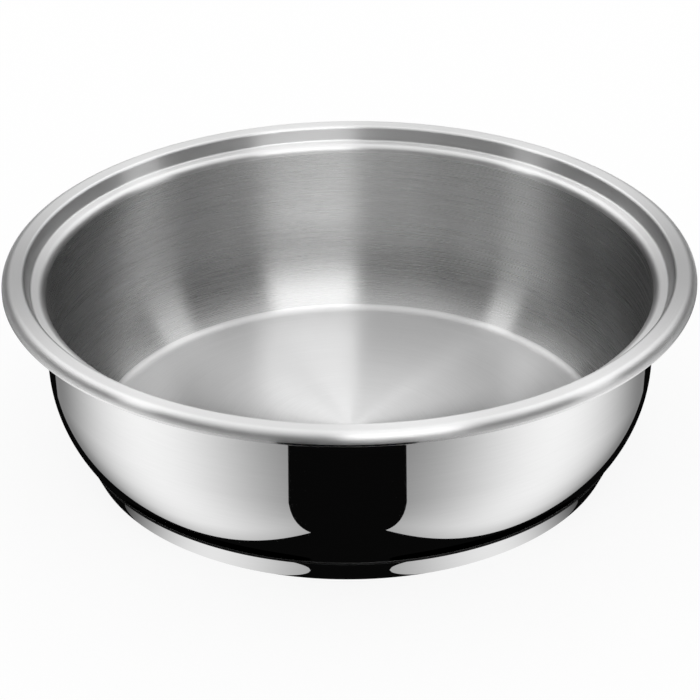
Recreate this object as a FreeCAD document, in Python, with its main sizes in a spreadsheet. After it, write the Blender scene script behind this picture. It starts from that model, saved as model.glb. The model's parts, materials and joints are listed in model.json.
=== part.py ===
"""A round open buffet pan of drawn stainless steel with a sealed sandwich base.

The pan stands on its base, with the origin at the middle of the underside and +Z up.
One sheet forms the floor, the bowl, the straight wall, the stepped rim and the lip.
Under the floor an aluminium disc is brazed in and closed off by a pressed steel cap.
"""
import FreeCAD, Part
import math
import os

import Sketcher

# Driving sizes in millimetres, and the draft in degrees
SIZES = {
    "rim_radius": 180.0,
    "rim_height": 107.5,
    "sheet": 1.0,
    "lip_drop": 6.3,
    "rim_round": 5.0,
    "flange_width": 11.6,
    "flange_round": 2.2,
    "step_run": 2.6,
    "step_drop": 8.0,
    "seat_round": 1.5,
    "ledge_width": 7.8,
    "well_round": 4.0,
    "bowl_height": 56.8,
    "bowl_round": 70.0,
    "corner_round": 8.0,
    "core": 3.0,
    "braze": 0.2,
    "cap_sheet": 0.6,
    "cap_rim_height": 12.9,
    "cap_draft": 24.0,
    "cap_round": 1.5,
    "seam_clearance": 0.05,
}

doc = FreeCAD.newDocument("buffet_pan")
dims = doc.addObject("Spreadsheet::Sheet", "dims")
for row, (word, number) in enumerate(SIZES.items(), start=1):
    dims.set(f"A{row}", word)
    dims.set(f"B{row}", str(number))
    dims.setAlias(f"B{row}", word)
doc.recompute()

# Sizes that follow from the driving ones, as formulas with a space round every word
DRAFT = "( cap_draft * 1 deg )"
STEP_TOP = "( rim_radius - flange_width )"
STEP_FOOT = f"( {STEP_TOP} - step_run )"
WELL = f"( {STEP_FOOT} - ledge_width )"
LEDGE = "( rim_height - step_drop )"
UNDERSIDE = "( cap_sheet + 2 * braze + core )"
FLOOR = f"( {UNDERSIDE} + sheet )"
BOWL_AXIS = f"( {WELL} - bowl_round )"
CORNER_HEIGHT = f"( {FLOOR} + corner_round )"
CORNER_OFFSET = "( bowl_round - corner_round )"
CORNER_FALL = f"( bowl_height - {CORNER_HEIGHT} )"
CORNER_AXIS = f"( {BOWL_AXIS} + sqrt( {CORNER_OFFSET} ^ 2 - {CORNER_FALL} ^ 2 ) )"
CORE_HOLLOW = "( corner_round + sheet + braze )"
CORE_BRIM = f"( {CORNER_HEIGHT} - {CORE_HOLLOW} * {CORNER_FALL} / {CORNER_OFFSET} )"
SEAM_REACH = "( bowl_round + sheet + seam_clearance )"
SEAM = f"( {BOWL_AXIS} + sqrt( {SEAM_REACH} ^ 2 - ( bowl_height - cap_rim_height ) ^ 2 ) )"
CAP_HOLLOW = "( cap_round - cap_sheet )"
CAP_LEAN = f"( ( cap_rim_height - cap_round ) * tan( {DRAFT} ) )"
CAP_AXIS = f"( {SEAM} - {CAP_LEAN} - {CAP_HOLLOW} / cos( {DRAFT} ) )"


def from_sheet(formula):
    """The formula with the name of each size pointing at its cell."""
    return " ".join(f"dims.{word}" if word in SIZES else word for word in formula.split())


def bound(formula, unit="mm"):
    """The formula as an expression that has a unit."""
    return f"( {from_sheet(formula)} ) * 1 {unit}"


def value(formula):
    """The formula's number for the sizes as they stand."""
    return float(dims.evalExpression(from_sheet(formula)))


def polar(middle, radius, degrees):
    """The point that lies at a distance and an angle from another one."""
    angle = math.radians(degrees)
    return (middle[0] + radius * math.cos(angle), middle[1] + radius * math.sin(angle))


class Profile:
    """A half section in a body's XZ plane, whose points are (radius, height)."""

    def __init__(self, body):
        plane = next(feature for feature in body.Origin.OriginFeatures if feature.Role == "XZ_Plane")
        self.sketch = body.newObject("Sketcher::SketchObject", body.Name + "_profile")
        self.sketch.AttachmentSupport = [(plane, "")]
        self.sketch.MapMode = "FlatFace"

    def line(self, start, end):
        """A straight edge between two points."""
        ends = [FreeCAD.Vector(*point, 0) for point in (start, end)]
        return self.sketch.addGeometry(Part.LineSegment(*ends), False)

    def arc(self, middle, radius, first, last):
        """A round edge, anticlockwise from the first angle to the last, in degrees."""
        circle = Part.Circle(FreeCAD.Vector(*middle, 0), FreeCAD.Vector(0, 0, 1), radius)
        angles = (math.radians(first), math.radians(last))
        return self.sketch.addGeometry(Part.ArcOfCircle(circle, *angles), False)

    def chain(self, point, heading, moves):
        """Edges that run smoothly into one another, as a list of their numbers.

        A move is the length of a straight run, or the radius and turn of a bend, with left turns positive.
        """
        edges = []
        leave = None
        for move in moves:
            if isinstance(move, tuple):
                radius, turn = move
                middle = polar(point, radius, heading + math.copysign(90, turn))
                first = heading - math.copysign(90, turn)
                last = first + turn
                edge = self.arc(middle, radius, min(first, last), max(first, last))
                enter, exit_end = (1, 2) if turn > 0 else (2, 1)
                point = polar(middle, radius, last)
                heading += turn
            else:
                end = polar(point, move, heading)
                edge = self.line(point, end)
                enter, exit_end = 1, 2
                point = end
            if edges:
                self.fix("Tangent", edges[-1], leave, edge, enter)
            edges.append(edge)
            leave = exit_end
        return edges

    def fix(self, kind, *places):
        """A constraint that has no size of its own."""
        self.sketch.addConstraint(Sketcher.Constraint(kind, *places))

    def size(self, kind, *places, formula):
        """A dimension that is bound to the sheet."""
        angle = kind == "Angle"
        number = math.radians(value(formula)) if angle else value(formula)
        index = self.sketch.addConstraint(Sketcher.Constraint(kind, *places, number))
        self.sketch.setExpression(f"Constraints[{index}]", bound(formula, "deg" if angle else "mm"))

    def place(self, edge, end, radius=None, height=None):
        """Dimensions from the origin to an edge's end, or with 3 to an arc's centre."""
        if radius is not None:
            self.size("DistanceX", -1, 1, edge, end, formula=radius)
        if height is not None:
            self.size("DistanceY", -1, 1, edge, end, formula=height)


def turned(name, draw):
    """A body whose half section is turned once round the Z axis."""
    body = doc.addObject("PartDesign::Body", name)
    body.Label = name
    profile = Profile(body)
    draw(profile)
    turn = body.newObject("PartDesign::Revolution", name + "_turn")
    turn.Profile = profile.sketch
    turn.ReferenceAxis = (profile.sketch, ["V_Axis"])
    turn.Angle = 360
    return body


def layer(name, radius, thickness, height):
    """A flat round layer that lies at the given height."""
    cylinder = doc.addObject("Part::Cylinder", name)
    cylinder.Label = name
    cylinder.setExpression("Radius", bound(radius))
    cylinder.setExpression("Height", bound(thickness))
    cylinder.setExpression("Placement.Base.z", bound(height))
    return cylinder


def draw_pan(profile):
    """The drawn sheet: its face runs from the lip over the rim and down to the floor, its back behind."""
    sheet = value("sheet")
    step_turn = math.degrees(math.atan2(value("step_drop"), value("step_run")))
    step_cut = math.tan(math.radians(step_turn / 2))
    flange_cut = step_cut * value("flange_round")
    seat_cut = step_cut * value("seat_round")
    bowl_turn = math.degrees(math.asin(value(f"{CORNER_FALL} / {CORNER_OFFSET}")))

    def skin(depth):
        foot = (value("rim_radius") - depth, value("rim_height - lip_drop"))
        return profile.chain(foot, 90, [
            value("lip_drop - rim_round"),
            (value("rim_round") - depth, 90),
            value("flange_width - rim_round") - flange_cut,
            (value("flange_round") - depth, step_turn),
            math.hypot(value("step_run"), value("step_drop")) - flange_cut - seat_cut,
            (value("seat_round") + depth, -step_turn),
            value("ledge_width - well_round") - seat_cut,
            (value("well_round") - depth, 90),
            value(f"{LEDGE} - well_round - bowl_height"),
            (value("bowl_round") + depth, -bowl_turn),
            (value("corner_round") + depth, bowl_turn - 90),
            value(CORNER_AXIS),
        ])

    face = skin(0)
    back = skin(sheet)
    lip, rim_bend, flange, flange_bend, step, seat_bend, ledge, well_bend, wall, bowl, corner, floor = face

    # upright lip and wall, level flange, ledge and floor
    for edge in (lip, wall):
        profile.fix("Vertical", edge)
    for edge in (flange, ledge, floor):
        profile.fix("Horizontal", edge)
    profile.place(lip, 1, "rim_radius", "rim_height - lip_drop")
    profile.place(flange, 1, height="rim_height")
    profile.place(ledge, 1, height=LEDGE)
    profile.place(wall, 1, WELL)
    profile.place(bowl, 3, height="bowl_height")
    profile.place(floor, 1, height=FLOOR)
    profile.fix("PointOnObject", floor, 2, -2)

    # the step leans between the corners that it would have with no rounding
    for level, radius, height in ((flange, STEP_TOP, "rim_height"), (ledge, STEP_FOOT, LEDGE)):
        sharp = Part.Point(FreeCAD.Vector(value(radius), value(height), 0))
        point = profile.sketch.addGeometry(sharp, True)
        profile.fix("PointOnObject", point, 1, level)
        profile.fix("PointOnObject", point, 1, step)
        profile.place(point, 1, radius)

    bends = {
        rim_bend: "rim_round",
        flange_bend: "flange_round",
        seat_bend: "seat_round",
        well_bend: "well_round",
        bowl: "bowl_round",
        corner: "corner_round",
    }
    for bend, radius in bends.items():
        profile.size("Radius", bend, formula=radius)

    # the back keeps one sheet's thickness behind the face
    for front, behind in zip(face, back):
        if front in bends:
            profile.fix("Coincident", front, 3, behind, 3)
        else:
            profile.fix("Parallel", front, behind)
    foot = value("rim_height - lip_drop")
    lip_edge = profile.line((value("rim_radius") - sheet, foot), (value("rim_radius"), foot))
    profile.fix("Coincident", lip_edge, 1, back[0], 1)
    profile.fix("Coincident", lip_edge, 2, lip, 1)
    profile.fix("Horizontal", lip_edge)
    profile.size("DistanceX", lip_edge, 1, lip_edge, 2, formula="sheet")
    middle = profile.line((0, value(FLOOR)), (0, value(UNDERSIDE)))
    profile.fix("Coincident", middle, 1, floor, 2)
    profile.fix("Coincident", middle, 2, back[-1], 2)
    profile.fix("Vertical", middle)


def draw_core(profile):
    """The aluminium disc, with its edge pressed up into the corner between the bowl and the cap."""
    draft = value("cap_draft")
    under = value("cap_sheet + braze")
    over = value(f"{UNDERSIDE} - braze")
    edge_round = value(f"{CAP_HOLLOW} - braze")
    hollow_middle = (value(CORNER_AXIS), value(CORNER_HEIGHT))
    hollow_turn = math.degrees(math.asin(value(f"{CORNER_FALL} / {CORNER_OFFSET}")))
    brim_end = polar(hollow_middle, value(CORE_HOLLOW), -hollow_turn)
    side_foot = polar((value(CAP_AXIS), value("cap_round")), edge_round, -draft)
    side_length = (brim_end[1] - side_foot[1]) / math.cos(math.radians(draft))

    bottom, edge_bend, side = profile.chain(
        (0, under), 0, [value(CAP_AXIS), (edge_round, 90 - draft), side_length])
    brim = profile.line(polar(side_foot, side_length, 90 - draft), brim_end)
    hollow = profile.arc(hollow_middle, value(CORE_HOLLOW), -90, -hollow_turn)
    top = profile.line((hollow_middle[0], over), (0, over))
    middle = profile.line((0, over), (0, under))

    for edge in (bottom, brim, top):
        profile.fix("Horizontal", edge)
    profile.fix("PointOnObject", bottom, 1, -2)
    profile.place(bottom, 1, height="cap_sheet + braze")
    profile.place(edge_bend, 3, CAP_AXIS)
    profile.size("Radius", edge_bend, formula=f"{CAP_HOLLOW} - braze")
    profile.size("Angle", side, formula="90 - cap_draft")
    profile.fix("Coincident", side, 2, brim, 1)
    profile.fix("Coincident", brim, 2, hollow, 2)
    profile.place(brim, 2, height=CORE_BRIM)
    profile.place(hollow, 3, CORNER_AXIS, CORNER_HEIGHT)
    profile.size("Radius", hollow, formula=CORE_HOLLOW)
    profile.fix("Tangent", hollow, 1, top, 1)
    profile.fix("PointOnObject", top, 2, -2)
    profile.fix("Coincident", middle, 1, top, 2)
    profile.fix("Coincident", middle, 2, bottom, 1)


def draw_cap(profile):
    """The pressed cap: a shallow cup whose flared rim ends against the bowl."""
    draft = value("cap_draft")
    sheet = value("cap_sheet")
    rim_inside = (value(SEAM), value("cap_rim_height"))
    rim_outside = polar(rim_inside, sheet, -draft)
    fall = value(f"cap_rim_height - cap_round + {CAP_HOLLOW} * sin( {DRAFT} )")
    side_length = fall / math.cos(math.radians(draft))

    def skin(rim, bend):
        return profile.chain(rim, 270 - draft, [side_length, (bend, draft - 90), value(CAP_AXIS)])

    outside = skin(rim_outside, value("cap_round"))
    inside = skin(rim_inside, value(CAP_HOLLOW))
    rim = profile.line(rim_inside, rim_outside)
    middle = profile.line((0, 0), (0, sheet))

    profile.place(outside[1], 3, CAP_AXIS)
    profile.size("Radius", outside[1], formula="cap_round")
    profile.fix("Horizontal", outside[2])
    profile.fix("Coincident", outside[2], 2, -1, 1)
    profile.fix("Parallel", outside[0], inside[0])
    profile.fix("Coincident", outside[1], 3, inside[1], 3)
    profile.fix("Horizontal", inside[2])
    profile.fix("PointOnObject", inside[2], 2, -2)
    profile.fix("Coincident", rim, 1, inside[0], 1)
    profile.fix("Coincident", rim, 2, outside[0], 1)
    profile.fix("Perpendicular", rim, outside[0])
    profile.size("Distance", rim, formula="cap_sheet")
    profile.place(rim, 1, SEAM, "cap_rim_height")
    profile.fix("Coincident", middle, 1, outside[2], 2)
    profile.fix("Coincident", middle, 2, inside[2], 2)


pieces = [
    turned("pan_body", draw_pan),
    layer("upper_braze_layer", CORNER_AXIS, "braze", f"{UNDERSIDE} - braze"),
    turned("heat_spreader", draw_core),
    layer("lower_braze_layer", CAP_AXIS, "braze", "cap_sheet"),
    turned("base_cap", draw_cap),
]
doc.recompute()

failed = [item.Name for item in doc.Objects if {"Invalid", "Error"} & set(item.State)]
failed += [piece.Label for piece in pieces if piece.Shape.isNull() or not piece.Shape.isValid()]
if failed:
    raise RuntimeError("not built: " + ", ".join(failed))

os.makedirs("parts", exist_ok=True)
for piece in pieces:
    piece.Shape.exportStep(f"parts/{piece.Label}.step")
    print(f"{piece.Label}: {piece.Shape.Volume / 1000:.2f} cm3")
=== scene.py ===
import json
import math

import bpy
import numpy as np
from mathutils import Matrix, Vector


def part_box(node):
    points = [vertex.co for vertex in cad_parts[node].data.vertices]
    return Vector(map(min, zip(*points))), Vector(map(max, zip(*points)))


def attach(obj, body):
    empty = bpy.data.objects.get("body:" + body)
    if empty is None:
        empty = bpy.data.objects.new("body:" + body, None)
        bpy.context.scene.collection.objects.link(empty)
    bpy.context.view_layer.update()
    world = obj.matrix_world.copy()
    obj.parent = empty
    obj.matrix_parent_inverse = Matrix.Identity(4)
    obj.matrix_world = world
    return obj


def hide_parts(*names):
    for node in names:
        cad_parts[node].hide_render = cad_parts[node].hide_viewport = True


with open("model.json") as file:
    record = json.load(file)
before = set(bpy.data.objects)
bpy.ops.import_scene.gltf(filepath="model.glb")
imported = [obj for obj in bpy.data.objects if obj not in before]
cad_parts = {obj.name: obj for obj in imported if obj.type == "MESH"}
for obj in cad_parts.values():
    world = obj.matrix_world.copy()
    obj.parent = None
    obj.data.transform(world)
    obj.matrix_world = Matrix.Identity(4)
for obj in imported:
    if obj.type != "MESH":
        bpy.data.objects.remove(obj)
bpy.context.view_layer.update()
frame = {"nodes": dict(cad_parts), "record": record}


# The pan: one disc of stainless sheet, deep drawn into a floor, a rounded bowl and a straight wall, with a
# ledge for a lid, a step, a flange and a lip that turns down. The inside is brushed round the axis and its
# floor is spun, with the floor's colour painted lighter than the wall's as painted light; the rim is satin,
# the lip is buffed and the outside is polished to a mirror.
MM = 0.001
QUARTER = math.pi / 2
ROUND_STEPS = 400
NEAR_AXIS = 1e-6
mounts = {mount["name"]: mount for mount in frame["record"]["mounts"]}
well_radius = mounts["insert_well"]["dims"]["r_mm"] * MM
wall_length = mounts["insert_well"]["dims"]["length_mm"] * MM
sheet = mounts["drop_in_body"]["dims"]["r_mm"] * MM - well_radius
lip_foot = mounts["rim_rest"]["pos_m"][2]
ledge_height = mounts["lid_seat"]["pos_m"][2]
pan_low, pan_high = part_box("pan_body")
rim_radius = pan_high.x
rim_height = pan_high.z
floor_height = pan_low.z + sheet
rim_round = 5.0 * MM
flange_width = 11.6 * MM
flange_round = 2.2 * MM
step_run = 2.6 * MM
seat_round = 1.5 * MM
well_round = 4.0 * MM
bowl_round = 70.0 * MM
corner_round = 8.0 * MM
lip_edge_round = 0.35 * MM
step_turn = math.atan2(rim_height - ledge_height, step_run)
bowl_height = ledge_height - well_round - wall_length
corner_height = floor_height + corner_round
bowl_turn = math.asin((bowl_height - corner_height) / (bowl_round - corner_round))
corner_radius = well_radius - bowl_round + (bowl_round - corner_round) * math.cos(bowl_turn)
step_top = rim_radius - flange_width
step_foot = step_top - step_run
flange_cut = flange_round * math.tan(step_turn / 2)
seat_cut = seat_round * math.tan(step_turn / 2)
flange_flat = rim_radius - rim_round - step_top - flange_cut
step_flat = math.hypot(step_run, rim_height - ledge_height) - flange_cut - seat_cut
ledge_flat = step_foot - seat_cut - well_radius - well_round
lip_flat = rim_height - rim_round - lip_foot - lip_edge_round
BRUSHED, SPUN_PAINTED_LIGHT, SATIN, POLISHED, BUFFED = 0, 1, 2, 3, 4
face_moves = [
    (lip_flat, BUFFED),
    ((rim_round, QUARTER), SATIN),
    (flange_flat, SATIN),
    ((flange_round, step_turn), SATIN),
    (step_flat, SATIN),
    ((seat_round, -step_turn), SATIN),
    (ledge_flat, SATIN),
    ((well_round, QUARTER), SATIN),
    (wall_length, BRUSHED),
    ((bowl_round, -bowl_turn), BRUSHED),
    ((corner_round, bowl_turn - QUARTER), SPUN_PAINTED_LIGHT),
    (corner_radius, SPUN_PAINTED_LIGHT),
]
back_moves = [
    (corner_radius, POLISHED),
    ((corner_round + sheet, QUARTER - bowl_turn), POLISHED),
    ((bowl_round + sheet, bowl_turn), POLISHED),
    (wall_length, POLISHED),
    ((well_round - sheet, -QUARTER), POLISHED),
    (ledge_flat, POLISHED),
    ((seat_round + sheet, step_turn), POLISHED),
    (step_flat, POLISHED),
    ((flange_round - sheet, -step_turn), SATIN),
    (flange_flat, SATIN),
    ((rim_round - sheet, -QUARTER), SATIN),
    (lip_flat, SATIN),
    ((lip_edge_round, QUARTER), SATIN),
    (sheet - 2 * lip_edge_round, SATIN),
    ((lip_edge_round, QUARTER), SATIN),
]


def traced(start, heading, moves, chord=0.008 * MM, spacing=9.0 * MM):
    """The section of a turned piece, in radius and height. A straight move is its length, cut into runs of up
    to spacing. A bend is its radius and its turn, left when positive, cut so finely that no run leaves the
    arc by more than chord. Gives the points, the directions that the surface faces there, to the right of
    the path, and each point's move."""
    places, facings, owners = [], [], []
    place = np.array(start, float)
    for number, move in enumerate(moves):
        along = np.array([math.cos(heading), math.sin(heading)])
        left = np.array([-along[1], along[0]])
        if isinstance(move, tuple):
            radius, turn = move
            count = math.ceil(abs(turn) / (2 * math.acos(1 - chord / radius)))
            angles = heading + turn * np.arange(count) / count
            centre = place + left * math.copysign(radius, turn)
            facing = np.stack([np.sin(angles), -np.cos(angles)], 1)
            places.append(centre + facing * math.copysign(radius, turn))
            heading += turn
            place = centre + np.array([math.sin(heading), -math.cos(heading)]) * math.copysign(radius, turn)
        else:
            count = math.ceil(move / spacing)
            places.append(place + along * move * (np.arange(count) / count)[:, None])
            facing = np.tile(-left, (count, 1))
            place = place + along * move
        facings.append(facing)
        owners.append(np.full(count, number))
    places.append(place[None])
    facings.append(np.array([[math.sin(heading), -math.cos(heading)]]))
    owners.append(np.array([len(moves) - 1]))
    return np.concatenate(places), np.concatenate(facings), np.concatenate(owners)


def finished(start, heading, moves):
    """A traced section whose points carry the number of their finish. A point that rounding leaves beside the
    axis is put on it."""
    places, facings, owners = traced(start, heading, [move for move, finish in moves])
    places[np.abs(places[:, 0]) < NEAR_AXIS, 0] = 0
    return places, facings, np.array([finish for move, finish in moves])[owners]


def turned(name, sections):
    """Sections carried round the axis, end to end, as one closed mesh: a section's point at radius r and
    height z goes to (r cos a, r sin a, z) for each angle a, and a point on the axis becomes one pole. The
    mesh keeps each point's exact facing and, as the attribute run, its distance along the section."""
    places = np.concatenate([section[0] for section in sections])
    facings = np.concatenate([section[1] for section in sections])
    slots = np.concatenate([section[2] for section in sections])
    angles = 2 * np.pi * np.arange(ROUND_STEPS) / ROUND_STEPS
    rows = len(places)
    on_axis = places[:, 0] < NEAR_AXIS
    counts = np.where(on_axis, 1, ROUND_STEPS)
    first = np.concatenate([[0], np.cumsum(counts)[:-1]])
    ids = first[:, None] + np.where(on_axis[:, None], 0, np.arange(ROUND_STEPS)[None])
    circle = np.stack([np.cos(angles), np.sin(angles)], 1)

    def carried(pairs):
        """Radius and height, or their parts of a direction, at each angle: one row for each vertex."""
        around = np.zeros((rows, ROUND_STEPS, 3))
        around[:, :, :2] = pairs[:, None, :1] * circle[None]
        around[:, :, 2] = pairs[:, None, 1]
        flat = np.zeros((counts.sum(), 3))
        flat[ids] = around
        return flat

    upright = np.where(on_axis[:, None], np.sign(facings) * [0, 1], facings)
    spans = np.linalg.norm(np.diff(places, axis=0), axis=1)
    run = np.concatenate([[0], np.cumsum(spans)])
    here, there = np.arange(rows), (np.arange(rows) + 1) % rows
    a, b = ids[here], ids[there]
    quads = np.stack([a, np.roll(a, -1, 1), np.roll(b, -1, 1), b], 2)
    whole = ~on_axis[here] & ~on_axis[there]
    closing = ~on_axis[here] & on_axis[there]
    opening = on_axis[here] & ~on_axis[there]
    faces = quads[whole].reshape(-1, 4).tolist()
    faces += quads[closing][:, :, [0, 1, 2]].reshape(-1, 3).tolist()
    faces += quads[opening][:, :, [0, 2, 3]].reshape(-1, 3).tolist()
    face_slots = np.concatenate([np.repeat(slots[kept], ROUND_STEPS) for kept in (whole, closing, opening)])
    mesh = bpy.data.meshes.new(name)
    mesh.from_pydata(carried(places).tolist(), [], faces)
    mesh.polygons.foreach_set("material_index", face_slots.astype(np.int32))
    mesh.polygons.foreach_set("use_smooth", np.ones(len(faces), bool))
    run_values = np.zeros(counts.sum())
    run_values[ids] = run[:, None]
    mesh.attributes.new("run", "FLOAT", "POINT").data.foreach_set("value", run_values)
    mesh.normals_split_custom_set_from_vertices(carried(upright).tolist())
    mesh.validate()
    piece = bpy.data.objects.new(name, mesh)
    bpy.context.scene.collection.objects.link(piece)
    return piece


face = finished((rim_radius, lip_foot + lip_edge_round), QUARTER, face_moves)
back = finished((0, pan_low.z), 0, back_moves)
pan = turned("pan", [face, [part[:-1] for part in back]])


class Wire:
    """A node's output. Sums and products of wires and numbers add Math nodes."""

    def __init__(self, tree, socket=None):
        self.tree = tree
        self.socket = socket

    def node(self, kind, settings=None, sockets=None, output=0):
        """A new node of a kind, with its settings set first and then each socket's value or wire."""
        made = self.tree.nodes.new(kind)
        for name, value in (settings or {}).items():
            setattr(made, name, value)
        for name, value in (sockets or {}).items():
            if isinstance(value, Wire):
                self.tree.links.new(value.socket, made.inputs[name])
            else:
                made.inputs[name].default_value = value
        return Wire(self.tree, made.outputs[output] if len(made.outputs) else None)

    def __add__(self, other):
        return self.node("ShaderNodeMath", {"operation": "ADD"}, {0: self, 1: other})

    def __mul__(self, other):
        return self.node("ShaderNodeMath", {"operation": "MULTIPLY"}, {0: self, 1: other})

    __radd__ = __add__
    __rmul__ = __mul__


def new_material(name):
    """An empty node material, and a wire to start its nodes from."""
    material = bpy.data.materials.new(name)
    material.use_nodes = True
    material.node_tree.nodes.clear()
    return material, Wire(material.node_tree)


def brush_marks(across, around, detail):
    """Marks that run round the axis: noise that changes quickly along the section, across cells in a metre,
    and slowly round the axis, around cells in a radian. Gives the function that adds their nodes."""

    def marks(start):
        """Noise at the level outward direction times around, raised by the run times across."""
        place = start.node("ShaderNodeTexCoord", output="Object")
        level = start.node("ShaderNodeVectorMath", {"operation": "MULTIPLY"}, {0: place, 1: (1, 1, 0)})
        outward = start.node("ShaderNodeVectorMath", {"operation": "NORMALIZE"}, {0: level})
        run = start.node("ShaderNodeAttribute", {"attribute_name": "run"}, output="Fac")
        along = start.node("ShaderNodeCombineXYZ", None, {"Z": run * across})
        spread = start.node("ShaderNodeVectorMath", {"operation": "SCALE"}, {0: outward, "Scale": around})
        both = start.node("ShaderNodeVectorMath", {"operation": "ADD"}, {0: spread, 1: along})
        return start.node("ShaderNodeTexNoise", None, {"Vector": both, "Scale": 1.0, "Detail": detail}, "Fac")

    return marks


def grey(level):
    """A colour with no hue."""
    return level, level, level


GLOSS_TURN = 0.25
MIX_DARK, MIX_LIGHT, MIX_COLOUR = 6, 7, 2


def metal(name, dark, light, rough_low, rough_high, marks, bump, anisotropy, grooves=None):
    """A bare metal whose marks, from 0 to 1, take its colour from dark to light and its roughness from low to
    high. Its grooves, or else its marks, lift its surface by bump metres. With anisotropy, its gloss is
    turned by a quarter so that it spreads across marks that run round the axis."""
    material, start = new_material(name)
    pattern = marks(start)
    height = grooves(start) if grooves else pattern
    colours = {0: pattern, MIX_DARK: (*dark, 1), MIX_LIGHT: (*light, 1)}
    colour = start.node("ShaderNodeMix", {"data_type": "RGBA"}, colours, MIX_COLOUR)
    normal = start.node("ShaderNodeBump", None, {"Strength": 1.0, "Distance": bump, "Height": height})
    shader = start.node("ShaderNodeBsdfPrincipled", None, {
        "Base Color": colour,
        "Metallic": 1.0,
        "Roughness": rough_low + (rough_high - rough_low) * pattern,
        "Anisotropic": anisotropy,
        "Anisotropic Rotation": GLOSS_TURN,
        "Normal": normal,
    })
    start.node("ShaderNodeOutputMaterial", None, {"Surface": shader})
    return material


long_marks = brush_marks(across=2200, around=2, detail=4)
fine_grooves = brush_marks(across=5000, around=2.5, detail=2)
short_marks = brush_marks(across=2600, around=6, detail=3)
faint_marks = brush_marks(across=900, around=8, detail=2)
pan_finishes = {
    BRUSHED: metal("brushed_steel", dark=grey(0.58), light=grey(0.72), rough_low=0.25, rough_high=0.30,
                   marks=long_marks, bump=0.015 * MM, anisotropy=1.0, grooves=fine_grooves),
    # Painted light: the spun floor is the wall's own sheet, coloured much lighter than the wall to stand in
    # for the light on the floor.
    SPUN_PAINTED_LIGHT: metal("spun_steel", dark=grey(0.82), light=grey(0.94), rough_low=0.28, rough_high=0.33,
                marks=long_marks, bump=0.015 * MM, anisotropy=1.0, grooves=fine_grooves),
    SATIN: metal("satin_steel", dark=grey(0.86), light=grey(0.93), rough_low=0.30, rough_high=0.35,
                 marks=short_marks, bump=0.01 * MM, anisotropy=1.0),
    POLISHED: metal("polished_steel", dark=grey(0.88), light=grey(0.92), rough_low=0.02, rough_high=0.035,
                    marks=faint_marks, bump=0.00002 * MM, anisotropy=0.0),
    BUFFED: metal("buffed_steel", dark=grey(0.80), light=grey(0.88), rough_low=0.15, rough_high=0.19,
                  marks=short_marks, bump=0.002 * MM, anisotropy=0.8),
}
for number in sorted(pan_finishes):
    pan.data.materials.append(pan_finishes[number])
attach(pan, "root")
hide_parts("pan_body")


# The filling of the base: a disc of rolled aluminium that spreads the heat, brazed between the pan and the
# cap. The cap closes it in on all sides, so these three pieces keep the shapes that they were drawn with.
ROLLED_CELLS = (20, 1500, 1500)
BRAZED_CELLS = 300


def rolled_marks(start):
    """The straight, faint marks of a rolling mill: noise stretched along X, by its cells in a metre."""
    place = start.node("ShaderNodeTexCoord", output="Object")
    stretched = start.node("ShaderNodeVectorMath", {"operation": "MULTIPLY"}, {0: place, 1: ROLLED_CELLS})
    return start.node("ShaderNodeTexNoise", None, {"Vector": stretched, "Scale": 1.0, "Detail": 2.0}, "Fac")


def brazed_marks(start):
    """The mottled, dull skin of metal that has flowed and set: noise a few millimetres across."""
    place = start.node("ShaderNodeTexCoord", output="Object")
    noise = {"Vector": place, "Scale": BRAZED_CELLS, "Detail": 4.0}
    return start.node("ShaderNodeTexNoise", None, noise, "Fac")


aluminium = metal("rolled_aluminium", dark=(0.74, 0.74, 0.75), light=(0.82, 0.82, 0.83), rough_low=0.30,
                  rough_high=0.42, marks=rolled_marks, bump=0.01 * MM, anisotropy=0.0)
braze = metal("brazing_metal", dark=(0.52, 0.52, 0.53), light=grey(0.68), rough_low=0.45, rough_high=0.70,
              marks=brazed_marks, bump=0.03 * MM, anisotropy=0.0)
filling = {"heat_spreader": aluminium, "upper_braze_layer": braze, "lower_braze_layer": braze}
for node, material in filling.items():
    frame["nodes"][node].data.materials.clear()
    frame["nodes"][node].data.materials.append(material)


# The cap: a dish pressed from thinner stainless sheet and brazed under the floor. Its side flares out to a
# rim that ends against the bowl; the side is polished like the pan, and the underside is turned to a satin.
# The cut edge of the rim is painted near black, as painted shade in the seam against the bowl.
cap_low, cap_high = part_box("base_cap")
cap_sheet = 0.6 * MM
cap_round = 1.5 * MM
cap_draft = math.radians(24)
cap_rim_edge = 0.12 * MM
rim_top = cap_high.z - cap_low.z
cap_turn = QUARTER - cap_draft
outer_rim_height = rim_top - cap_sheet * math.sin(cap_draft)
cap_foot = cap_high.x - outer_rim_height * math.tan(cap_draft)
cap_cut = cap_round * math.tan(cap_turn / 2)
cap_flat = cap_foot - cap_cut
side_flat = outer_rim_height / math.cos(cap_draft) - cap_cut
TURNED, SHINY, PAINTED_SEAM_SHADE = 0, 1, 2
cap_moves = [
    (cap_flat, TURNED),
    ((cap_round, cap_turn), SHINY),
    (side_flat - cap_rim_edge, SHINY),
    ((cap_rim_edge, QUARTER), PAINTED_SEAM_SHADE),
    (cap_sheet - 2 * cap_rim_edge, PAINTED_SEAM_SHADE),
    ((cap_rim_edge, QUARTER), PAINTED_SEAM_SHADE),
    (side_flat - cap_rim_edge, TURNED),
    ((cap_round - cap_sheet, -cap_turn), TURNED),
    (cap_flat, TURNED),
]
cap = turned("cap", [finished((0, cap_low.z), 0, cap_moves)])
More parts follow.
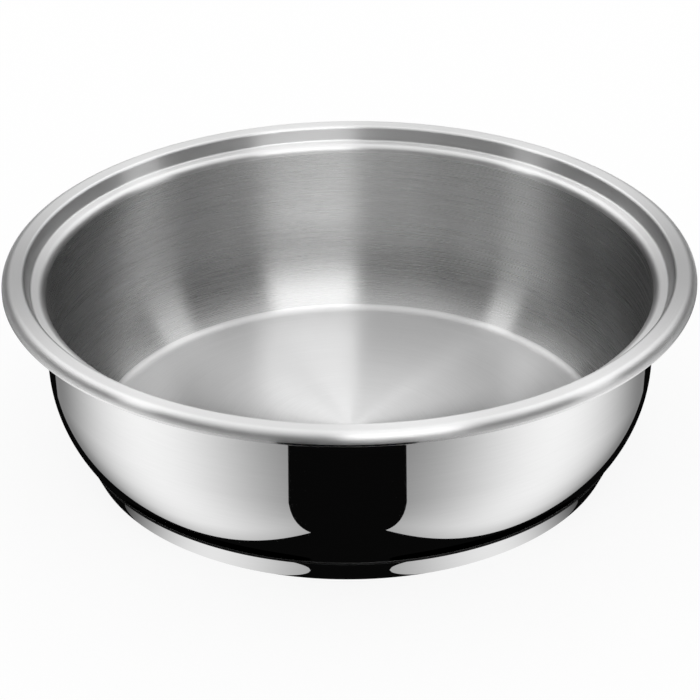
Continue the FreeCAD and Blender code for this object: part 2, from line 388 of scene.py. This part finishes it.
cap_finishes = {
    TURNED: metal("turned_steel", dark=grey(0.62), light=grey(0.74), rough_low=0.26, rough_high=0.38,
                  marks=brush_marks(across=1800, around=3, detail=3), bump=0.01 * MM, anisotropy=0.8),
    SHINY: pan_finishes[POLISHED],
    # Painted shade: the rim's cut edge is coloured near black for the shade in the seam against the bowl.
    PAINTED_SEAM_SHADE: metal("cut_edge_steel", dark=grey(0.05), light=grey(0.10), rough_low=0.45, rough_high=0.60,
               marks=brush_marks(across=4000, around=20, detail=2), bump=0.005 * MM, anisotropy=0.0),
}
for number in sorted(cap_finishes):
    cap.data.materials.append(cap_finishes[number])
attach(cap, "root")
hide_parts("base_cap")


# The stage: a pale floor in even white light. Dark and bright boards lie round the pan and stand about it,
# as a photographer sets them for polished metal; only the metal's reflections see the boards.
FLOOR_SIDE = 20.0
FLOOR_COLOUR = grey(0.97)
FLOOR_GLOW = 0.88
world = bpy.data.worlds.new("white_tent")
bpy.context.scene.world = world
world.use_nodes = True
world.node_tree.nodes["Background"].inputs["Color"].default_value = (1, 1, 1, 1)
world.node_tree.nodes["Background"].inputs["Strength"].default_value = 1.0


def staged(name, vertices, faces, material):
    """A mesh that belongs to the stage."""
    mesh = bpy.data.meshes.new(name)
    mesh.from_pydata(vertices.reshape(-1, 3).tolist(), [], faces.tolist())
    mesh.materials.append(material)
    thing = bpy.data.objects.new(name, mesh)
    bpy.context.scene.collection.objects.link(thing)
    return thing


floor_paint, start = new_material("floor_paint")
painted = start.node("ShaderNodeBsdfDiffuse", None, {"Color": (*FLOOR_COLOUR, 1)})
white = start.node("ShaderNodeEmission", None, {"Color": (1, 1, 1, 1), "Strength": 1.0})
from_camera = start.node("ShaderNodeLightPath", output="Is Camera Ray")
from_gloss = start.node("ShaderNodeLightPath", output="Is Glossy Ray")
from_glass = start.node("ShaderNodeLightPath", output="Is Transmission Ray")
floor_mix = FLOOR_GLOW * (from_camera + from_gloss + from_glass)
floor_look = start.node("ShaderNodeMixShader", None, {0: floor_mix, 1: painted, 2: white})
start.node("ShaderNodeOutputMaterial", None, {"Surface": floor_look})
floor_paint.cycles.emission_sampling = "NONE"
corners = np.array([[-1, -1, 0], [1, -1, 0], [1, 1, 0], [-1, 1, 0]]) * FLOOR_SIDE / 2
staged("floor", corners, np.array([[0, 1, 2, 3]]), floor_paint)
board_paint, start = new_material("board_paint")
board_level = start.node("ShaderNodeAttribute", {"attribute_name": "level"}, output="Color")
board_glow = start.node("ShaderNodeEmission", None, {"Color": board_level, "Strength": 1.0})
start.node("ShaderNodeOutputMaterial", None, {"Surface": board_glow})
board_paint.cycles.emission_sampling = "NONE"


def reflected_board(name, places, levels):
    """A board that only reflections see: a grid of points, with the light that it gives at each as the
    attribute level, 0 for black and 1 for as bright as the white light all round."""
    rows, columns = places.shape[:2]
    ids = np.arange(rows * columns).reshape(rows, columns)
    faces = np.stack([ids[:-1, :-1], ids[1:, :-1], ids[1:, 1:], ids[:-1, 1:]], 2).reshape(-1, 4)
    board = staged(name, places, faces, board_paint)
    board.data.attributes.new("level", "FLOAT", "POINT").data.foreach_set("value", levels.ravel())
    board.visible_camera = False
    board.visible_diffuse = False
    board.visible_transmission = False
    board.visible_volume_scatter = False
    board.visible_shadow = False
    return board


def on_floor(outward, turns, height, side=1, facing=-1):
    """Points at a height above the floor: each at a distance outward from the axis, and turned from the side
    that is faced, -Y for the photograph's side, by turns in degrees towards +X, or towards -X for side -1."""
    angles = np.radians(turns)
    across, along = outward * np.sin(angles), outward * np.cos(angles)
    return np.stack([side * across, facing * along, np.full(across.shape, height)], 2)


# A dark board lies on the floor all round the base and reaches well past the pan, as the dark ground that the
# polished outside shows.
BASE_GAP = 0.3 * MM
DARK_REACH = 1.2
DARK_HEIGHT = 0.2 * MM
DARK_LEVEL = 0.0025
WHOLE_TURN = np.linspace(-180, 180, 181)[None]
base_radius = cap_flat
dark = on_floor(np.array([[base_radius + BASE_GAP], [DARK_REACH]]), WHOLE_TURN, DARK_HEIGHT)
reflected_board("dark_floor", dark, np.full(dark.shape[:2], DARK_LEVEL))

# Bright wings lie on it, left and right of a dark middle, and a narrow strip for each lights the cap alone. A
# wing's row has its name, its side and the way it faces, the turns of its front and its end, and its strip's.
EDGE_TURNS = (0, 30, 60, 90, 120)
EDGE_DISTANCES = np.array([204, 151, 156, 191, 326]) * MM
EDGE_TRIES = 4
RAY_FOOT = 145 * MM
DEPTHS = np.array([0, 1, 2, 3, 4.5, 6, 8, 11, 15, 20, 27, 36, 50, 70, 100, 140, 220, 400, 1000])[:, None] * MM
DEPTH_MARKS = np.array([0, 14, 40, 140]) * MM
PEAK_TURNS = (28, 31, 35, 39.5)
PEAK_LEVELS = (0.6, 0.86, 0.95, 0.99)
FRONT_LEVELS = (0.34, 0.33, 0.29, 0.25)
BEHIND_LEVEL = 0.22
WING_SPREAD = 34
WING_STEPS = 200
CORNER_TURN = 3.4
CORNER_DEPTH = 18 * MM
FRONT_WING_HEIGHT = 0.5 * MM
BACK_WING_HEIGHT = 0.4 * MM
STRIP_WIDTH = 9.2 * MM
STRIP_MIDDLE = base_radius + 5.0 * MM
STRIP_HEIGHT = 0.4 * MM
STRIP_PEAK_TURN = 31
STRIP_SPREAD = 30
STRIP_FRONT_LEVEL = 0.35
STRIP_PEAK_LEVEL = 0.85
STRIP_BEHIND_LEVEL = 0.05
STRIP_STEPS = 120
TIP_POWER = 4
WINGS = (
    ("front_left", -1, -1, 10.9, 77, 8.6, 58),
    ("front_right", 1, -1, 9.6, 76, 7.8, 58),
    ("back_left", -1, 1, 10.9, 33, 8.6, 48),
    ("back_right", 1, 1, 10.9, 33, 8.6, 48),
)
edge_curve = np.polynomial.Polynomial.fit(EDGE_TURNS, EDGE_DISTANCES, len(EDGE_TURNS) - 1)


def wing_places(turns, height, side, facing):
    """A wing's points, on rays as a round mirror throws them: each leaves a circle of radius RAY_FOOT at a
    turn, goes on at twice that turn, meets the wing's edge and goes on by DEPTHS. The edge is a curve of
    distance from the axis against turn, so the way to it is worked out again from where each try ends."""
    angles = np.radians(turns)
    reach = np.zeros(turns.shape)
    for _ in range(EDGE_TRIES):
        met = turns + np.degrees(np.arctan2(reach * np.sin(angles), RAY_FOOT + reach * np.cos(angles)))
        reach = np.sqrt(edge_curve(met) ** 2 - (RAY_FOOT * np.sin(angles)) ** 2) - RAY_FOOT * np.cos(angles)
    reach = np.maximum(reach, 0) + DEPTHS
    foot = on_floor(RAY_FOOT, turns, height, side, facing)
    return foot + on_floor(reach, 2 * turns, 0, side, facing)


def peaked(turns, peak_turn, spread, before, peak, after):
    """Light with one peak: the square of a cosine takes it from before up to peak at peak_turn and down to
    after, each within spread degrees."""
    lowest = np.where(turns < peak_turn, before, after)
    away = np.clip((turns - peak_turn) / spread, -1, 1)
    return lowest + (peak - lowest) * np.cos(QUARTER * away) ** 2


cap_only = bpy.data.collections.new("cap_only")
cap_only.objects.link(cap)
for name, side, facing, far_front, end, strip_front, strip_end in WINGS:
    front = far_front - CORNER_TURN * np.exp(-DEPTHS / CORNER_DEPTH)
    turns = front + (end - front) * np.linspace(0, 1, WING_STEPS)[None]
    peak_turn = np.interp(DEPTHS, DEPTH_MARKS, PEAK_TURNS)
    before = np.interp(DEPTHS, DEPTH_MARKS, FRONT_LEVELS)
    peak = np.interp(DEPTHS, DEPTH_MARKS, PEAK_LEVELS)
    levels = peaked(turns, peak_turn, WING_SPREAD, before, peak, BEHIND_LEVEL)
    height = FRONT_WING_HEIGHT if facing < 0 else BACK_WING_HEIGHT
    reflected_board(f"wing_{name}", wing_places(turns, height, side, facing), levels)
    along = np.linspace(0, 1, STRIP_STEPS)[None]
    turns = strip_front + (strip_end - strip_front) * along
    half_width = STRIP_WIDTH / 2 * np.sqrt(1 - np.abs(2 * along - 1) ** TIP_POWER)
    places = on_floor(STRIP_MIDDLE + np.array([[-1], [1]]) * half_width, turns, STRIP_HEIGHT, side, facing)
    levels = peaked(turns, STRIP_PEAK_TURN, STRIP_SPREAD, STRIP_FRONT_LEVEL, STRIP_PEAK_LEVEL,
                    STRIP_BEHIND_LEVEL)
    strip = reflected_board(f"strip_{name}", places, np.broadcast_to(levels, places.shape[:2]))
    strip.light_linking.receiver_collection = cap_only

# Cards stand in front and a dome closes the rest. A card's row has its name, the first and last turn of the
# upright strip of the inside wall that shows it, the height that its light starts at, and its light; a row of
# the dome has the turns of its own place.
VIEW_HEIGHT = math.radians(28.97)
LIGHT_RISE = 20
CARD_REACH = 5.5
CARD_TOP = 50
CARD_STEPS = 13
CARD_ROWS = 25
DOME_REACH = 6.0
DOME_TOP = 64
DOME_STEPS = 25
DOME_ROWS = 17
CEILING_LIGHT = 0.95
WALL_CARDS = (
    ("flag_left", -62, -40, 0, 0.0),
    ("strip_light_left", -40, -33, 20, 1.3),
    ("flag_front_left", -33, -19, 43, 1.3),
    ("front_left", -19, -1.5, 35, 0.7),
    ("key_card", -1.5, 18, 25, 2.2),
    ("front_right", 18, 38.5, 43, 1.6),
    ("strip_light_right", 38.5, 47.5, 5, 0.9),
    ("flag_right", 47.5, 62, 0, 0.0),
)
DOME_CARDS = (
    ("back_left", -180, -148, 18, 1.35),
    ("side_left", -148, -90, 20, 1.4),
    ("front_top", -90, 90, 20, 0.95),
    ("side_right", 90, 148, 20, 1.4),
    ("back_right", 148, 180, 18, 1.35),
)


def pointing(turns, heights):
    """Directions turned from -Y towards +X by turns, and raised from the level by heights, in degrees."""
    across, up = np.radians(turns), np.radians(heights)
    return np.stack([np.cos(up) * np.sin(across), -np.cos(up) * np.cos(across), np.sin(up) + 0 * across], 2)


def mirrored(turns):
    """What a strip of wall shows from the photograph's height: a mirror that faces m shows, to an eye in the
    direction v, what lies along 2 (v . m) m - v. The mirrors tilt up to CARD_TOP from where they show the
    horizon."""
    eye = np.array([0, -math.cos(VIEW_HEIGHT), math.sin(VIEW_HEIGHT)])
    level_tilts = np.degrees(np.arctan2(math.tan(VIEW_HEIGHT), np.cos(np.radians(turns)))) / 2
    tilts = level_tilts + (CARD_TOP - level_tilts) * np.linspace(0, 1, CARD_ROWS)[:, None]
    mirrors = pointing(turns, tilts)
    return 2 * (mirrors @ eye)[:, :, None] * mirrors - eye


def card_levels(directions, lit_from, light):
    """A card's light: black below the height lit_from, in degrees, from which it grows to light."""
    heights = np.degrees(np.arcsin(np.clip(directions[:, :, 2], 0, 1)))
    return light * np.clip((heights - lit_from) / LIGHT_RISE, 0, 1)


for name, first, last, lit_from, light in WALL_CARDS:
    directions = mirrored(np.linspace(first, last, CARD_STEPS)[None])
    reflected_board(name, CARD_REACH * directions, card_levels(directions, lit_from, light))
for name, first, last, lit_from, light in DOME_CARDS:
    heights = np.linspace(0, DOME_TOP, DOME_ROWS)[:, None]
    directions = pointing(np.linspace(first, last, DOME_STEPS)[None], heights)
    reflected_board(name, DOME_REACH * directions, card_levels(directions, lit_from, light))
overhead = pointing(WHOLE_TURN, np.array([[DOME_TOP], [90]]))
reflected_board("ceiling", DOME_REACH * overhead, np.full(overhead.shape[:2], CEILING_LIGHT))


# The camera: a long lens, as for a product picture, 29 degrees above the horizon and rolled by half a degree.
# Its place was solved from the rim, the outline and the base in the photograph.
SENSOR_WIDTH = 36.0
LENS = 127.2
CLIP_END = 100.0
DISTANCE = 1.3131
AIM_HEIGHT = 52.57 * MM
ROLL = math.radians(-0.535)
camera_data = bpy.data.cameras.new("camera")
camera_data.sensor_width = SENSOR_WIDTH
camera_data.lens = LENS
camera_data.clip_end = CLIP_END
camera = bpy.data.objects.new("camera", camera_data)
bpy.context.scene.collection.objects.link(camera)
back_axis = Vector((0, -math.cos(VIEW_HEIGHT), math.sin(VIEW_HEIGHT)))
level_up = Vector((0, math.sin(VIEW_HEIGHT), math.cos(VIEW_HEIGHT)))
right_axis = Vector((1, 0, 0)) * math.cos(ROLL) + level_up * math.sin(ROLL)
up_axis = back_axis.cross(right_axis)
pose = Matrix((right_axis, up_axis, back_axis)).transposed().to_4x4()
pose.translation = Vector((0, 0, AIM_HEIGHT)) + back_axis * DISTANCE
camera.matrix_world = pose
bpy.context.scene.camera = camera
bpy.context.scene.view_settings.view_transform = "Standard"
